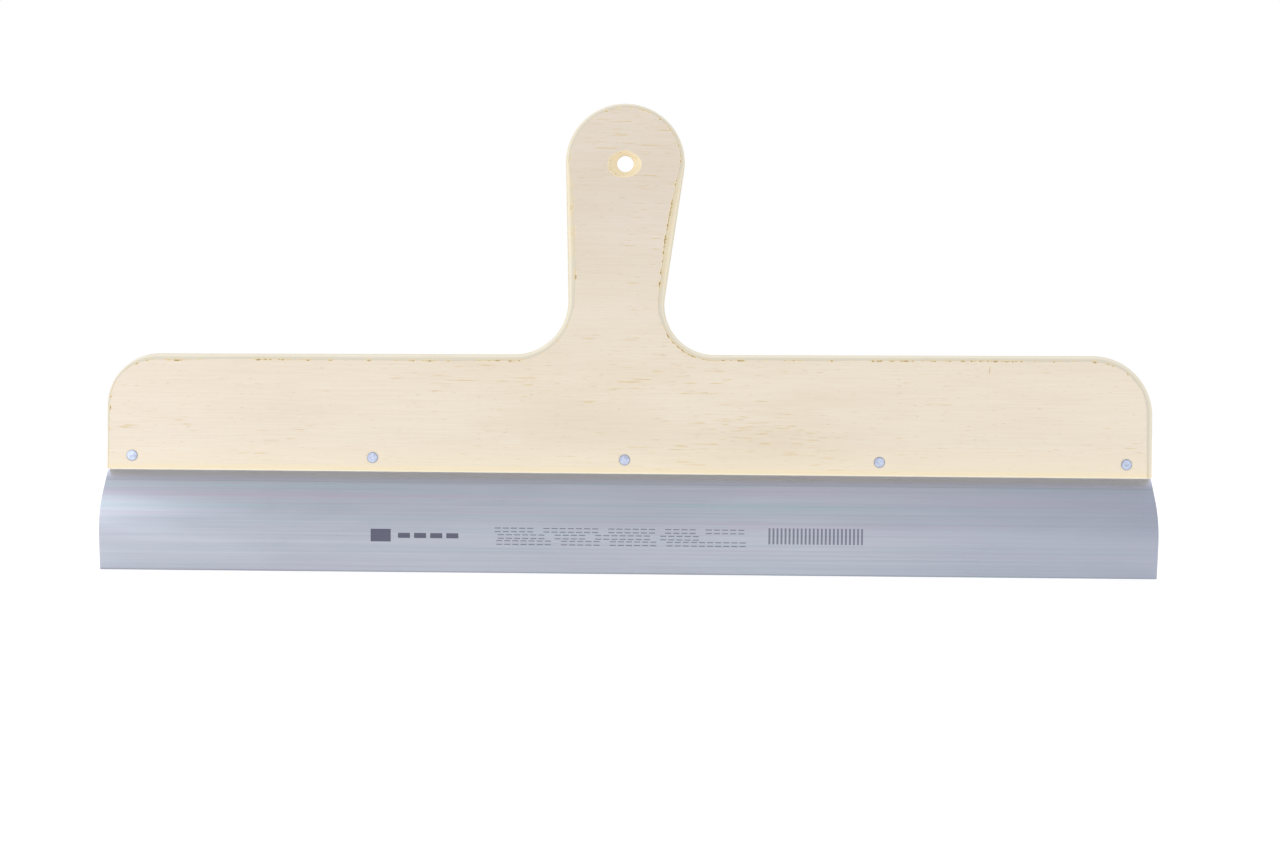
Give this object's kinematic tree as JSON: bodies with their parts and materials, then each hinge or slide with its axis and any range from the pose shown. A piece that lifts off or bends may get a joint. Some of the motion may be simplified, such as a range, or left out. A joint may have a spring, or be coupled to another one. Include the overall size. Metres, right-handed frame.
{
  "type": "drywall taping knife",
  "caption": "Wide drywall taping and smoothing knife: tee-shaped plywood handle with a hanging hole and a thin rolled spring-steel blade riveted into its lower edge.",
  "frame": {"origin": "middle of the hanging hole, half way through the handle's thickness", "axes": "+X along the blade, +Z from the blade to the top of the grip, +Y from the front to the back of the handle; the front, -Y, is the side that the blade is rolled towards"},
  "size_m": [0.5, 0.0162, 0.2241],
  "materials": {
    "face_veneer": "bare sanded pale veneer, grain along the blade",
    "crossband": "bare veneer, end grain showing on the long edges",
    "core_veneer": "bare veneer, grain along the blade",
    "blade_steel": "cold-rolled spring steel, fine streaks along the blade",
    "rivet_aluminium": "bright, slightly hammered"
  },
  "bodies": {
    "root": {"front_face_veneer": "face_veneer", "front_crossband": "crossband", "core_ply": "core_veneer", "back_crossband": "crossband", "back_face_veneer": "face_veneer", "blade": "blade_steel", "rivet_1": "rivet_aluminium", "rivet_2": "rivet_aluminium", "rivet_3": "rivet_aluminium", "rivet_4": "rivet_aluminium", "rivet_5": "rivet_aluminium"}
  },
  "joints": []
}
